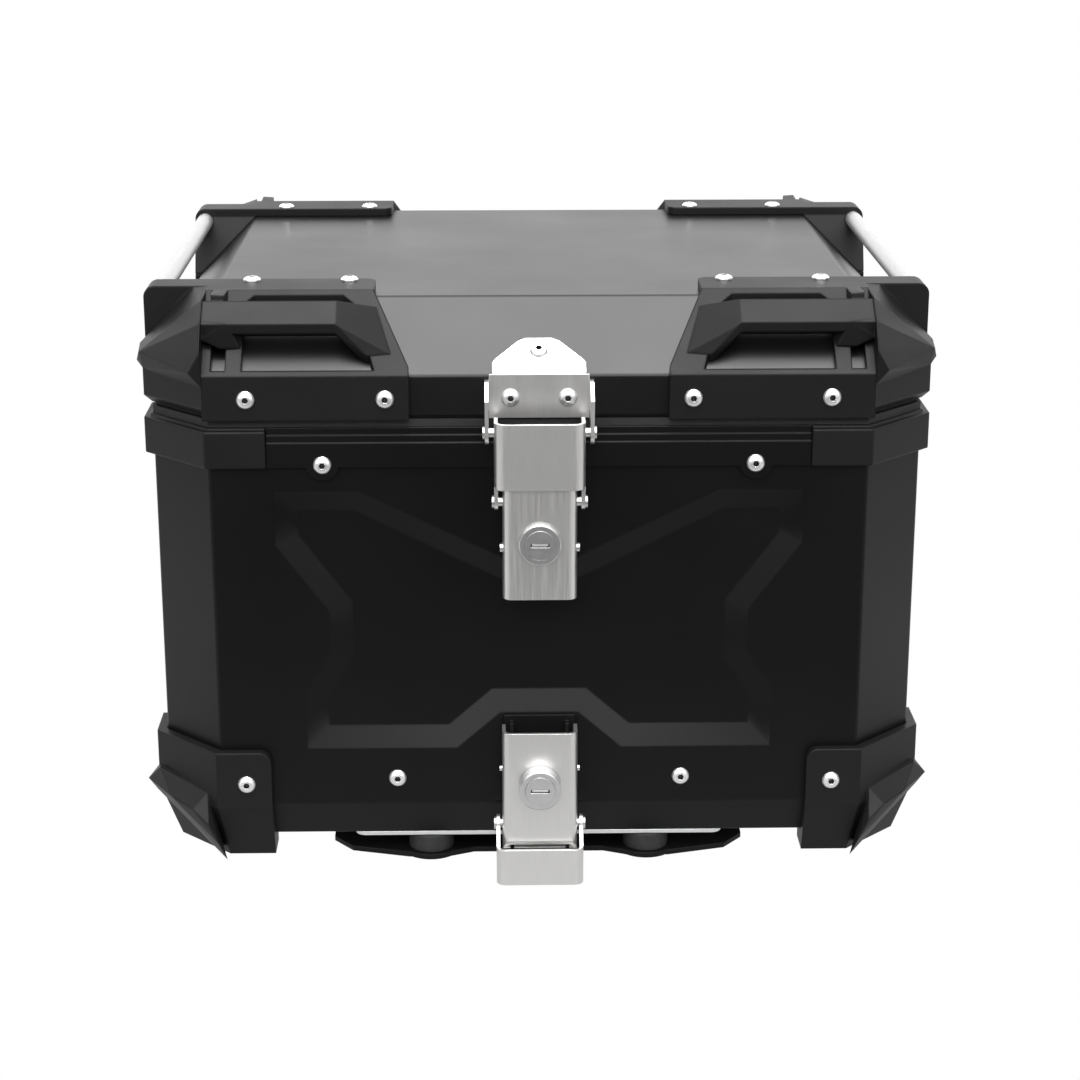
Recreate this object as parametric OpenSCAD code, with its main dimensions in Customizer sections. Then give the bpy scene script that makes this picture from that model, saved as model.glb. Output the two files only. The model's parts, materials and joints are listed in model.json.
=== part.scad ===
// Hard top case for a motorcycle: a folded aluminium box and lid with moulded corner guards,
// a hinged draw latch that hangs from the lid, and a lower latch that clamps the case to its rack plate.
// Units are millimetres. The origin is the centre of the rack plate's bottom face, +Z is up,
// and the latch side of the case faces -Y.

/* [Box] */
// Width of the aluminium box across its side walls
body_w = 413; // [400:1:430]
// Depth of the aluminium box from front wall to rear wall
body_d = 357; // [345:1:370]
// Width of the flat that cuts each vertical corner, measured along either wall
corner_cut = 33; // [28:1:36]
// Thickness of the aluminium sheet
sheet_t = 2; // [1.5:0.1:2.5]
// Height of the box floor's underside
body_z = 20; // [19:0.5:21]
// Height of the slanted band round the foot of the walls
bevel_h = 22; // [16:1:24]
// How far the slanted band leans in at the floor
bevel_in = 10; // [6:1:12]
// Height of the open mouth of the box
mouth_z = 252; // [250:0.5:254]
// Depth of the pressed panel in each wall
press_depth = 5.4; // [3:0.1:6]
// Width of the slope round the pressed panel
press_slope = 12.4; // [10:0.2:14]

/* [Lid] */
// Height of the lower edge of the lid's skirt
lid_z = 261.3; // [261:0.1:262]
// Height of the fold between skirt and roof slope
lid_fold_z = 282.4; // [280:0.2:284]
// Height of the flat roof
roof_z = 316; // [312:1:318]
// Half width of the flat roof
roof_x = 172.5; // [168:0.5:176]
// Half depth of the flat roof
roof_y = 136; // [130:1:140]

/* [Corner guards] */
// How far the lid guards stand off the walls
guard_t = 4; // [3.5:0.5:5]
// Thickness of the guard's plate on the roof
bracket_t = 5; // [4:0.5:6]
// Where the guard's plate starts, measured from the middle of the lid front to back
bracket_y = 113; // [108:1:116]
// Inner end of the guard's plate on the roof
guard_end_top = 87; // [84:1:90]
// Inner end of the guard on the skirt
guard_end_low = 68; // [64:1:72]
// Height of the lower edge of the lid guards
guard_low_z = 259.3; // [259:0.1:260]
// How far the bottom guards stand off the walls
foot_t = 5.5; // [4:0.5:6]
// Height of the underside of the bottom guards
foot_z = 9.5; // [9:0.5:11]
// Height of the upper edge of the bottom guards
foot_top_z = 73.5; // [68:0.5:80]
// Inner end of the bottom guards along the front and rear walls
foot_end_x = 146; // [140:1:150]
// Inner end of the bottom guards along the side walls
foot_end_y = 116; // [110:1:122]

/* [Rim and rods] */
// Height of the lower edge of the rim
rim_low_z = 233.7; // [232:0.5:236]
// Height of the rim's step
rim_step_z = 247; // [245:0.5:249]
// Height of the rim's seat for the seal
rim_top_z = 255; // [254.5:0.1:255.5]
// Inner end of the rim corners along the front and rear walls
rim_end_x = 143.5; // [138:0.5:148]
// Diameter of the luggage rods
rod_d = 10; // [8:0.5:12]
// Distance of each rod from the middle of the lid
rod_x = 204.4; // [203:0.2:205]
// Height of the rods' axis
rod_z = 313.2; // [312:0.2:314]

/* [Upper latch] */
// Thickness of the stainless steel sheet in both latches
steel_t = 2; // [1.5:0.1:2]
// Half width of the keeper on the lid
keeper_w = 26.3; // [26.1:0.1:27]
// Half width of the link
link_w = 23.8; // [23.4:0.1:24]
// Half width of the upper lever
lever_w = 19.6; // [19.2:0.1:20]
// Height of the lower end of the upper lever
lever_low_z = 165.7; // [160:0.5:172]
// Height of the lock's axis in the upper lever
lock_z = 196.5; // [196:0.1:197]
// Diameter of the lock's collar
lock_d = 22.5; // [20:0.5:23]
// Diameter of the key plug
plug_d = 16; // [14:0.5:16]

/* [Lower latch] */
// Half width of the lower lever
low_lever_w = 20.3; // [20:0.1:20.6]
// Height of the upper end of the lower lever
low_lever_top_z = 90; // [86:0.5:91]
// Height of the lock's axis in the lower lever
low_lock_z = 60.6; // [60:0.2:61]
// How far the lower lock's collar stands out of the lever
low_lock_out = 9; // [6:0.5:11]
// Half width of the bail, outside
bail_w = 23.6; // [23.4:0.1:24]
// Height of the bail's underside
bail_z = 4.2; // [4:0.1:4.4]

/* [Rack plate] */
// Thickness of the pressed steel rack plate
rack_t = 3; // [2.5:0.1:3]
// Height of the plate's raised flange, underside
flange_z = 4.8; // [4.6:0.1:5]
// Diameter of the rubber buffers
buffer_d = 25; // [20:1:26]
// Length of each bolt slot, end to end
slot_len = 40; // [30:1:50]
// Width of each bolt slot
slot_w = 6.6; // [6:0.1:8.4]
// Distance between the four corner slots from left to right
slot_dx = 110; // [100:1:120]
// Distance between the four corner slots from front to back
slot_dy = 150; // [120:1:170]
// Distance between the two slots on the middle line
slot_mid_dy = 90; // [70:1:100]

/* [Hidden] */
$fn = 48;

hw = body_w / 2;
hd = body_d / 2;
join_x = hw - corner_cut - 6;
pan_top = body_z + 4;
gap = 0.1;
run_gap = 0.05;
coat = [0.09, 0.09, 0.095];
moulded = [0.16, 0.16, 0.165];
steel = [0.72, 0.72, 0.72];
bright = [0.82, 0.82, 0.83];
rubber = [0.05, 0.05, 0.05];

// Fasteners: button head screws with a hexagon socket
head_r = 4.75;
head_h = 2.5;
shank_r = 2.4;
bore_r = 2.5;
guard_screw_x = [80.5, 153];
guard_screw_z = 270.8;
roof_screw_x = [101.1, 153.5];
roof_screw_y = 118.4;
foot_screw_x = 159.6;
foot_screw_z = 55.5;
body_screw_x = 77.5;
body_screw_z = 56.5;
rail_screw_x = 114;
rail_screw_z = 235.2;
floor_screw_x = 80;
floor_screw_y = 130;
keeper_screw_x = 15;
keeper_screw_z = 270.8;
keeper_slope_y = 167;
catch_screw_z = [186, 208];
low_screw_z = [48, 70];

// Latch pivots in the Y-Z plane: keeper pin, link pin, stub pins, lower pivot and bail pin
keeper_pin = [-188.5, 254];
link_pin = [-193, 218];
stub_pin = [-193.5, 193];
low_pivot = [-191, 22];
bail_pin = [-189.5, 34.1];
low_stub = [-190.5, 66.7];
pin_r = 2.5;
link_face = -202;
lever_face = -199.4;
low_lever_face = -200;
bail_face = -206;
cam_y = [-187.4, -185.4];
hinge_pin = [188.5, 257.4];
hinge_x = 38;

function unit(v) = v / norm(v);
// Corners of the box's plan, grown by o on every side
function plan(o = 0) =
    let (a = hw + o, b = hd + o, s = hw + hd - corner_cut + o * sqrt(2))
    [[a, s - a], [s - b, b], [b - s, b], [-a, s - a], [-a, a - s], [b - s, -b], [s - b, -b], [a, a - s]];
// A closed outline moved inwards by d, with sharp corners
function inset(p, d) = [for (i = [0:len(p) - 1])
    let (n = len(p), b = p[i], u = unit(b - p[(i + n - 1) % n]), v = unit(p[(i + 1) % n] - b),
        nu = [-u.y, u.x], nv = [-v.y, v.x])
    b + d * (nu + nv) / (1 + nu * nv)];
function at_height(p, z) = [for (q = p) [q.x, q.y, z]];

// Closed solid between two outlines with the same number of corners
module loft(low, high) {
    n = len(low);
    sides = [for (i = [0:n - 1]) [i, i + n, (i + 1) % n + n, (i + 1) % n]];
    polyhedron(concat(low, high), concat([[for (i = [0:n - 1]) i]], [[for (i = [n - 1:-1:0]) i + n]], sides), 4);
}

// Convex solid with the given corners
module solid_of(points) {
    hull() polyhedron(points, [for (i = [2:len(points) - 1]) [0, i - 1, i]]);
}

module mirrored_x() {
    children();
    mirror([1, 0, 0]) children();
}

module mirrored_y() {
    children();
    mirror([0, 1, 0]) children();
}

// Places a part modelled for the right rear corner at any corner
module at_corner(right, rear) {
    mirror([right ? 0 : 1, 0, 0]) mirror([0, rear ? 0 : 1, 0]) children();
}

// Button head screw along +Z, its head's seat at z = 0 and its shank going down
module screw(length) {
    difference() {
        union() {
            rotate_extrude() polygon([[0, 0], [head_r, 0], [head_r, 0.8], [head_r - 0.7, 1.7],
                [head_r - 2, 2.3], [1.8, head_h], [0, head_h]]);
            translate([0, 0, -length]) cylinder(r = shank_r, h = length + 0.5);
        }
        translate([0, 0, head_h - 2]) cylinder(r = 1.75, h = 2.5, $fn = 6);
    }
}

// Screw through the front wall, its head's seat at y = -seat
module front_screw(x, seat, z, length) {
    translate([x, -seat, z]) rotate([90, 0, 0]) screw(length);
}

module front_bore(x, z, r = bore_r) {
    translate([x, -hd - 20, z]) rotate([-90, 0, 0]) cylinder(r = r, h = 60);
}

// Outline extruded along X between x0 and x1, with its points given in Y-Z
module along_x(x0, x1) {
    translate([x0, 0, 0]) rotate([90, 0, 90]) linear_extrude(x1 - x0) children();
}

// Outline extruded along Y between y0 and y1, with its points given in X-Z
module along_y(y0, y1) {
    translate([0, y1, 0]) rotate([90, 0, 0]) linear_extrude(y1 - y0) children();
}

module pin_x(p, x0, x1, r = pin_r) {
    translate([x0, p.x, p.y]) rotate([0, 90, 0]) cylinder(r = r, h = x1 - x0);
}

/* ---- box ---- */

// Right half of the pressed panel's outline in the front wall, from top middle to bottom middle
panel_half = [[18, 181.8], [95.6, 220.2], [140.5, 220.2], [140.5, 190], [112.5, 152.7], [112.5, 128.8],
    [126.5, 106.6], [126.5, 73.5], [44.6, 73.5], [21, 94.1]];
function panel(k) = concat([for (p = panel_half) [-p.x * k, p.y]],
    [for (i = [len(panel_half) - 1:-1:0]) [panel_half[i].x * k, panel_half[i].y]]);

// Solid that presses the panel into a wall at y = -wall, and stands proud of it by 1
module press(k, wall) {
    out = inset(panel(k), -press_slope / press_depth);
    deep = inset(panel(k), press_slope);
    loft([for (p = deep) [p.x, -wall + press_depth, p.y]], [for (p = out) [p.x, -wall - 1, p.y]]);
}

module all_presses(shift = 0) {
    mirrored_y() translate([0, shift, 0]) press(1, hd);
    mirrored_x() rotate([0, 0, 90]) translate([0, shift, 0]) press(0.8, hw);
}

// Outside of the box, or its inside when grown by a negative amount
module box_form(o, low, high) {
    fold = body_z + bevel_h;
    k = bevel_in / bevel_h;
    loft(at_height(plan(o - bevel_in + k * (low - body_z)), low), at_height(plan(o), fold));
    translate([0, 0, fold]) linear_extrude(high - fold) polygon(plan(o));
}

// The whole box of sheet, floor and walls
module box_sheet() {
    difference() {
        box_form(0, body_z, mouth_z);
        all_presses();
        difference() {
            box_form(-sheet_t, body_z + sheet_t, mouth_z + 1);
            all_presses(sheet_t);
        }
        mirrored_y() mirrored_x() {
            front_bore(foot_screw_x, foot_screw_z);
            front_bore(body_screw_x, body_screw_z);
            front_bore(rail_screw_x, rail_screw_z);
            translate([floor_screw_x, floor_screw_y, body_z - 5]) cylinder(r = bore_r, h = 10);
        }
        for (z = concat(catch_screw_z, low_screw_z)) front_bore(0, z);
    }
}

// Floor with the foot of the walls
module floor_pan() {
    color(coat) intersection() {
        box_sheet();
        translate([-body_w, -body_d, body_z - 1]) cube([2 * body_w, 2 * body_d, pan_top - body_z + 1]);
    }
}

// Wall between two corner pieces
module wall_front() {
    color(coat) intersection() {
        box_sheet();
        translate([-join_x, -body_d, pan_top]) cube([2 * join_x, body_d, mouth_z]);
    }
}
module wall_rear() {
    color(coat) intersection() {
        box_sheet();
        translate([-join_x, 0, pan_top]) cube([2 * join_x, body_d, mouth_z]);
    }
}

// Side wall with a corner piece at each end
module wall_right() {
    color(coat) intersection() {
        box_sheet();
        translate([join_x, -body_d, pan_top]) cube([body_w, 2 * body_d, mouth_z]);
    }
}
module wall_left() { mirror([1, 0, 0]) wall_right(); }

module floor_mat() {
    mat_t = 3;
    color(rubber) translate([0, 0, body_z + sheet_t + gap]) linear_extrude(mat_t) polygon(plan(-14));
}

/* ---- foot plate under the box, with two tongues that slide under the rack plate's hooks ---- */
foot_plate_t = 2.4;
foot_plate_x = 102;
foot_plate_y = 168;
tongue_x = 30;
tongue_w = 24;
tongue_z = 11.5;
tongue_end = 156;

module foot_plate() {
    r = 6;
    color(steel) difference() {
        union() {
            translate([0, 0, body_z - foot_plate_t]) linear_extrude(foot_plate_t - gap) {
                square([2 * foot_plate_x, 2 * (foot_plate_y - r)], center = true);
                square([2 * (foot_plate_x - r), 2 * foot_plate_y], center = true);
                for (x = [-1, 1], y = [-1, 1])
                    translate([x * (foot_plate_x - r), y * (foot_plate_y - r)]) circle(r);
            }
            mirrored_x() translate([tongue_x - tongue_w / 2, 0, tongue_z]) {
                translate([0, 120, 0]) cube([tongue_w, foot_plate_t, body_z - tongue_z - 1]);
                translate([0, 120, 0]) cube([tongue_w, tongue_end - 120, foot_plate_t]);
            }
        }
        mirrored_x() mirrored_y()
            translate([floor_screw_x, floor_screw_y, 0]) cylinder(r = bore_r, h = 40);
    }
}

module foot_plate_screws() {
    color(bright) mirrored_x() mirrored_y()
        translate([floor_screw_x, floor_screw_y, body_z - foot_plate_t])
            rotate([180, 0, 0]) screw(foot_plate_t + sheet_t - 0.3);
}

/* ---- rim round the mouth ---- */
rail_out = 3;
rim_out = 4.5;
wall_slot = [-sheet_t - gap, gap];

// Section of a rim rail: depth beyond the wall's outer face against height
module rail_section(out) {
    difference() {
        polygon([[-4, 240], [-4, rim_top_z], [1.3, rim_top_z], [1.3, 251], [out - 0.8, 251],
            [out - 0.8, rim_step_z], [out, rim_step_z], [out, rim_low_z], [gap, rim_low_z], [gap, 240]]);
        translate([wall_slot[0], 200]) square([wall_slot[1] - wall_slot[0], mouth_z + gap - 200]);
    }
}

module front_rail() {
    lobe_r = 8.5;
    difference() {
        union() {
            mirror([0, 1, 0]) along_x(-rim_end_x + gap, rim_end_x - gap)
                translate([hd, 0]) rail_section(rail_out);
            mirrored_x() translate([rail_screw_x, -hd - gap, rail_screw_z])
                rotate([90, 0, 0]) cylinder(r = lobe_r, h = rail_out - gap);
        }
        mirrored_x() front_bore(rail_screw_x, rail_screw_z);
    }
}

module rail_front() { color(coat) front_rail(); }
module rail_rear() { color(coat) mirror([0, 1, 0]) front_rail(); }

rim_end_y = hd - corner_cut - 30;
module rail_right() {
    color(coat) rotate([0, 0, 90]) mirror([0, 1, 0])
        along_x(-rim_end_y + gap, rim_end_y - gap) translate([hw, 0]) rail_section(rail_out);
}
module rail_left() { mirror([1, 0, 0]) rail_right(); }

module rim_corner() {
    low_z = rim_low_z - 0.2;
    top_z = 253.5;
    intersection() {
        difference() {
            union() {
                translate([0, 0, low_z]) linear_extrude(top_z - low_z) polygon(plan(rim_out));
                translate([0, 0, low_z]) linear_extrude(rim_top_z - low_z) polygon(plan(1.3));
            }
            translate([0, 0, low_z - 1]) linear_extrude(40) polygon(plan(-4));
            translate([0, 0, low_z - 1]) linear_extrude(241 - low_z) polygon(plan(gap));
            translate([0, 0, low_z - 1]) linear_extrude(mouth_z + gap - low_z + 1) difference() {
                polygon(plan(wall_slot[1]));
                polygon(plan(wall_slot[0]));
            }
        }
        translate([rim_end_x, rim_end_y, low_z - 1]) cube([100, 100, 40]);
    }
}

module rim_corner_front_left() { color(moulded) at_corner(false, false) rim_corner(); }
module rim_corner_front_right() { color(moulded) at_corner(true, false) rim_corner(); }
module rim_corner_rear_left() { color(moulded) at_corner(false, true) rim_corner(); }
module rim_corner_rear_right() { color(moulded) at_corner(true, true) rim_corner(); }

module rim_seal() {
    seal_top = 259;
    color(rubber) translate([0, 0, rim_top_z + 0.02]) linear_extrude(seal_top - rim_top_z) difference() {
        polygon(plan(-0.3));
        polygon(plan(-3.7));
    }
}

module rail_screws() {
    color(bright) mirrored_y() mirrored_x()
        front_screw(rail_screw_x, hd + rail_out, rail_screw_z, rail_out + sheet_t);
}

module body_screws() {
    color(bright) mirrored_y() mirrored_x()
        front_screw(body_screw_x, hd, body_screw_z, sheet_t);
}

/* ---- bottom corner guards ---- */

// Quadrant of a wall above and right of (end, low), its upper inner corner rounded
module guard_mask(end, top) {
    r = 6.5;
    translate([end, 0]) square([120, top - r]);
    translate([end + r, 0]) square([120, top]);
    translate([end + r, top - r]) circle(r);
}

module foot_guard() {
    fold = body_z + bevel_h - 1;
    lean = 11;
    difference() {
        union() {
            intersection() {
                union() {
                    loft(at_height(plan(foot_t - lean), foot_z), at_height(plan(foot_t), fold));
                    translate([0, 0, fold]) linear_extrude(foot_top_z - fold) polygon(plan(foot_t));
                }
                along_y(90, 220) guard_mask(foot_end_x, foot_top_z);
                along_x(100, 230) guard_mask(foot_end_y, foot_top_z);
            }
            // flared skid from the outer tip down to the pointed toe
            solid_of([[211, 152, 53], [211, 143, 53], [218.5, 146, 44], [214, 143, 36], [203, 170, 43],
                [190, 182, 40], [181, 187, 33], [175.5, 187, 21], [172, 181, foot_z], [176, 170, foot_z + 4],
                [196, 150, 24], [182, 178, 48]]);
        }
        box_form(gap, body_z - gap, mouth_z);
        translate([0, 0, -1]) linear_extrude(body_z + 1 - gap) polygon(plan(-24));
        mirror([0, 1, 0]) front_bore(foot_screw_x, foot_screw_z);
    }
}

module foot_guard_front_left() { color(moulded) at_corner(false, false) foot_guard(); }
module foot_guard_front_right() { color(moulded) at_corner(true, false) foot_guard(); }
module foot_guard_rear_left() { color(moulded) at_corner(false, true) foot_guard(); }
module foot_guard_rear_right() { color(moulded) at_corner(true, true) foot_guard(); }

module foot_guard_screws() {
    color(bright) mirrored_y() mirrored_x()
        front_screw(foot_screw_x, hd + foot_t, foot_screw_z, foot_t + sheet_t);
}

/* ---- lid ---- */

// Outside of the lid's roof and skirt, grown by o, from the height low
module lid_form(o, low) {
    roof = [[roof_x + o / 2, roof_y + o / 2], [-roof_x - o / 2, roof_y + o / 2],
        [-roof_x - o / 2, -roof_y - o / 2], [roof_x + o / 2, -roof_y - o / 2]];
    translate([0, 0, low]) linear_extrude(lid_fold_z - low + 0.01) polygon(plan(o));
    solid_of(concat(at_height(plan(o), lid_fold_z), at_height(roof, roof_z + o)));
}

slope_tilt = atan((roof_z - lid_fold_z) / (hd - roof_y));
keeper_slope_z = roof_z - (keeper_slope_y - roof_y) * tan(slope_tilt);

// Places children on the front slope of the lid, +Z away from the lid
module on_slope() {
    translate([0, -keeper_slope_y, keeper_slope_z]) rotate([slope_tilt, 0, 0]) children();
}

module lid_shell() {
    color([0.2, 0.2, 0.21]) difference() {
        lid_form(0, lid_z);
        lid_form(-sheet_t, lid_z - 1);
        mirrored_y() mirrored_x() {
            for (x = guard_screw_x) front_bore(x, guard_screw_z);
            for (x = roof_screw_x) translate([x, roof_screw_y, roof_z - 5]) cylinder(r = bore_r, h = 10);
        }
        mirrored_x() front_bore(keeper_screw_x, keeper_screw_z);
        on_slope() translate([0, 0, -6]) cylinder(r = bore_r, h = 12);
    }
}

// Frame inside the skirt that presses on the seal
module lid_frame() {
    low = 259.1;
    color(moulded) translate([0, 0, low]) difference() {
        linear_extrude(7) polygon(plan(-sheet_t - gap));
        translate([0, 0, -1]) linear_extrude(9) polygon(plan(-8));
    }
}

// Side view of the lid guard's front: roof plate, slope and skirt
slope_top_y = 143;
module guard_section() {
    polygon([[bracket_y, 300], [bracket_y, roof_z + bracket_t], [slope_top_y, roof_z + bracket_t],
        [hd + guard_t, lid_fold_z + 0.8], [hd + guard_t, guard_low_z], [150, guard_low_z], [150, 300]]);
}

module guard_frame() {
    edge_r = 6;
    reach = hd + guard_t + 1;
    slant = (guard_end_top - guard_end_low) / (reach - slope_top_y);
    intersection() {
        along_x(guard_end_low, 176) guard_section();
        translate([0, 0, 250]) linear_extrude(100) {
            polygon([[guard_end_top, bracket_y + edge_r], [180, bracket_y + edge_r], [180, reach],
                [guard_end_low, reach], [guard_end_low, hd], [guard_end_top, slope_top_y]]);
            translate([guard_end_top + edge_r, bracket_y]) square([100, edge_r + 1]);
            translate([guard_end_top + edge_r, bracket_y + edge_r]) circle(edge_r);
        }
    }
}

// Opening through the slope under the handle, and the pocket beside the wing
module guard_opening() {
    translate([0, 0, lid_fold_z + 0.9]) linear_extrude(60) {
        polygon([[98, 149], [103, 145.5], [150, 145.5], [155, 149], [155, 179.9], [86, 179.9], [95.5, 152]]);
        polygon([[163.5, 160], [171, 160], [171, 179.9], [163.5, 179.9]]);
    }
}

// Block that fills the corner over the side slope and carries the rod
module guard_block() {
    top = roof_z + bracket_t;
    edge_r = 6;
    out = hw + guard_t;
    back = 132;
    intersection() {
        union() {
            solid_of([[170, bracket_y - 13, lid_fold_z], [out, bracket_y - 13, lid_fold_z],
                [170, bracket_y, roof_z], [out, bracket_y, roof_z],
                [170, back, lid_fold_z], [out, back, lid_fold_z], [170, back, roof_z], [out, back, roof_z]]);
            translate([170, bracket_y, roof_z - 0.1]) cube([out - 170, back - bracket_y, bracket_t + 0.1]);
        }
        along_y(90, 150) {
            square([out, top - edge_r]);
            square([out - edge_r, top]);
            translate([out - edge_r, top - edge_r]) circle(edge_r);
        }
    }
}

module guard_skirt() {
    drop = 6;
    low = guard_low_z;
    high = lid_fold_z - 0.5;
    intersection() {
        union() {
            translate([0, 0, low + drop]) linear_extrude(high - low - drop) polygon(plan(guard_t));
            loft(at_height(plan(guard_t - drop), low), at_height(plan(guard_t), low + drop));
        }
        translate([172, bracket_y - 13, low - 1]) cube([60, 100, 60]);
    }
}

module guard_wing() {
    top = roof_z + bracket_t;
    solid_of([[175.5, 132, top], [184, 131, top - 0.5], [176, 160, top - 1.5], [176, 174, 309.5],
        [176, 184.3, 296], [182, 184.5, 285.5], [213, 135, 291], [214.3, 141, 283], [212.5, 146, 288.5],
        [210, 131, 281], [210.5, 147, 280], [182, 177, 279], [175.5, 183, 277.5], [175.5, 131, 279]]);
}

// Handle: the bar's section in Y-Z, its outer root and its inner foot
handle_section = [[158.6, 318.2], [171.8, 308.6], [171.4, 303.4], [165, 300.6], [155.6, 309]];
module guard_handle() {
    bar_in = 106;
    along_x(bar_in, 176) polygon(handle_section);
    solid_of(concat([for (p = handle_section) [bar_in, p.x, p.y]],
        [[97, 151.5, 313.3], [85.5, 151.5, 313.3], [77.5, 173, 293], [90, 174, 292],
            [97, 151.5, 306], [85.5, 151.5, 306], [78.5, 171, 288], [90, 172, 287]]));
    solid_of([[163, 171.8, 309], [176, 170, 310], [155, 165, 300.6], [156, 170.5, 295.3], [166, 171, 295],
        [176, 171.5, 300], [163, 158, 312], [176, 158, 312], [156, 163, 301], [176, 163, 301]]);
    solid_of([[164, 142, 321], [171.5, 142, 321], [165, 158, 321], [171.5, 158, 321.4],
        [164, 142, 311], [171.5, 142, 311], [164, 160, 308], [171.5, 160, 308]]);
}

module lid_guard() {
    difference() {
        union() {
            difference() {
                guard_frame();
                guard_opening();
            }
            guard_block();
            guard_skirt();
            guard_wing();
            guard_handle();
        }
        lid_form(gap, 240);
        for (x = guard_screw_x) mirror([0, 1, 0]) front_bore(x, guard_screw_z);
        for (x = roof_screw_x) translate([x, roof_screw_y, 300]) cylinder(r = bore_r, h = 40);
        translate([rod_x, 90, rod_z]) rotate([-90, 0, 0]) cylinder(d = rod_d + 2 * run_gap, h = 36);
    }
}

module lid_guard_front_left() { color(moulded) at_corner(false, false) lid_guard(); }
module lid_guard_front_right() { color(moulded) at_corner(true, false) lid_guard(); }
module lid_guard_rear_left() { color(moulded) at_corner(false, true) lid_guard(); }
module lid_guard_rear_right() { color(moulded) at_corner(true, true) lid_guard(); }

module lid_guard_screws() {
    color(bright) mirrored_y() mirrored_x()
        for (x = guard_screw_x) front_screw(x, hd + guard_t, guard_screw_z, guard_t + sheet_t);
}

module roof_screws() {
    color(bright) mirrored_y() mirrored_x() for (x = roof_screw_x)
        translate([x, roof_screw_y, roof_z + bracket_t]) screw(bracket_t + sheet_t - 0.2);
}

module rod() {
    reach = 125;
    translate([rod_x, -reach, rod_z]) rotate([-90, 0, 0]) cylinder(d = rod_d, h = 2 * reach);
}
module rod_right() { color(bright) rod(); }
module rod_left() { color(bright) mirror([1, 0, 0]) rod(); }

/* ---- hinges ---- */
knuckle_r = 4;
hinge_half = 26;
knuckle_split = 9;

module body_leaf() {
    leaf_y = hd + rail_out + gap;
    for (s = [[-hinge_half, -knuckle_split], [knuckle_split, hinge_half]]) difference() {
        union() {
            along_x(s[0], s[1]) {
                translate([hinge_pin.x, hinge_pin.y]) circle(knuckle_r);
                polygon([[leaf_y, 250], [hinge_pin.x - 1, 250], [hinge_pin.x + knuckle_r, hinge_pin.y],
                    [hinge_pin.x - knuckle_r, hinge_pin.y], [leaf_y, 254]]);
            }
        }
        pin_x(hinge_pin, -60, 60);
    }
    along_x(-hinge_half, hinge_half)
        polygon([[leaf_y, 236], [leaf_y + 2, 236], [leaf_y + 2, 251], [leaf_y, 251]]);
}

module lid_leaf() {
    leaf_y = hd + gap;
    half = knuckle_split - 0.5;
    difference() {
        along_x(-half, half) {
            translate([hinge_pin.x, hinge_pin.y]) circle(knuckle_r);
            polygon([[hinge_pin.x - knuckle_r + 0.5, hinge_pin.y + 1], [hinge_pin.x + 3.5, hinge_pin.y + 2],
                [leaf_y + 2, 267], [leaf_y, 267], [leaf_y, 263]]);
        }
        pin_x(hinge_pin, -60, 60, pin_r + run_gap);
    }
    along_x(-hinge_half, hinge_half)
        polygon([[leaf_y, 263], [leaf_y + 2, 263], [leaf_y + 2, 280], [leaf_y, 280]]);
}

module hinge_body_leaves() { color(coat) mirrored_x() translate([hinge_x, 0, 0]) body_leaf(); }
module hinge_lid_leaves() { color(coat) mirrored_x() translate([hinge_x, 0, 0]) lid_leaf(); }
module hinge_pins() {
    color(bright) mirrored_x() translate([hinge_x, 0, 0]) pin_x(hinge_pin, -hinge_half, hinge_half);
}

/* ---- upper latch ---- */

// Channel open towards the case: half width w, front face at y = face, rear edge at y = back
module channel_2d(w, face, back, r) {
    difference() {
        channel_outline(w, face, back, r);
        channel_outline(w - steel_t, face + steel_t, back + 1, r - steel_t);
    }
}

module channel_outline(w, face, back, r) {
    translate([-w + r, face]) square([2 * (w - r), back - face]);
    translate([-w, face + r]) square([2 * w, back - face - r]);
    for (x = [-w + r, w - r]) translate([x, face + r]) circle(r);
}

module keeper_plate() {
    seat = hd + gap;
    ear_in = keeper_w + 0.2;
    ear_out = ear_in + steel_t;
    low = 260;
    color(steel) difference() {
        union() {
            // skirt plate with its ears
            translate([-keeper_w, -seat - steel_t, low]) cube([2 * keeper_w, steel_t, lid_fold_z + 0.9 - low]);
            translate([-ear_out, -seat - steel_t, 264]) cube([2 * ear_out, steel_t, 16]);
            mirrored_x() along_x(ear_in, ear_out) {
                polygon([[-seat, 280], [-seat, 264], [keeper_pin.x + 5, keeper_pin.y - 1],
                    [keeper_pin.x - 6, keeper_pin.y], [keeper_pin.x - 6, 272], [-seat - 6, 280]]);
                translate([keeper_pin.x, keeper_pin.y]) circle(6);
            }
            // tab on the roof slope
            on_slope() translate([0, 0, gap]) linear_extrude(steel_t)
                polygon([[-24.5, -14.3], [-24.5, -8], [-23, -5.5], [-11, 6.5], [-7, 8.5], [7, 8.5], [11, 6.5],
                    [23, -5.5], [24.5, -8], [24.5, -14.3]]);
        }
        mirrored_x() front_bore(keeper_screw_x, keeper_screw_z);
        on_slope() translate([0, 0, -6]) cylinder(r = bore_r, h = 20);
        pin_x(keeper_pin, -60, 60);
        lid_form(gap, 240);
    }
}

module keeper_screws() {
    color(bright) {
        mirrored_x() front_screw(keeper_screw_x, hd + gap + steel_t, keeper_screw_z, steel_t + sheet_t);
        on_slope() translate([0, 0, gap + steel_t]) screw(steel_t + sheet_t);
    }
}

// Rivet that joins two side walls: shank from x0 to x1 with a flat head outside
module rivet(p, x0, x1) {
    pin_x(p, x0, x1);
    pin_x(p, x1, x1 + 1.2, pin_r + 1);
}

module keeper_pins() {
    color(bright) mirrored_x() rivet(keeper_pin, link_w - steel_t - 0.5, keeper_w + 0.2 + steel_t + run_gap);
}

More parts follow.
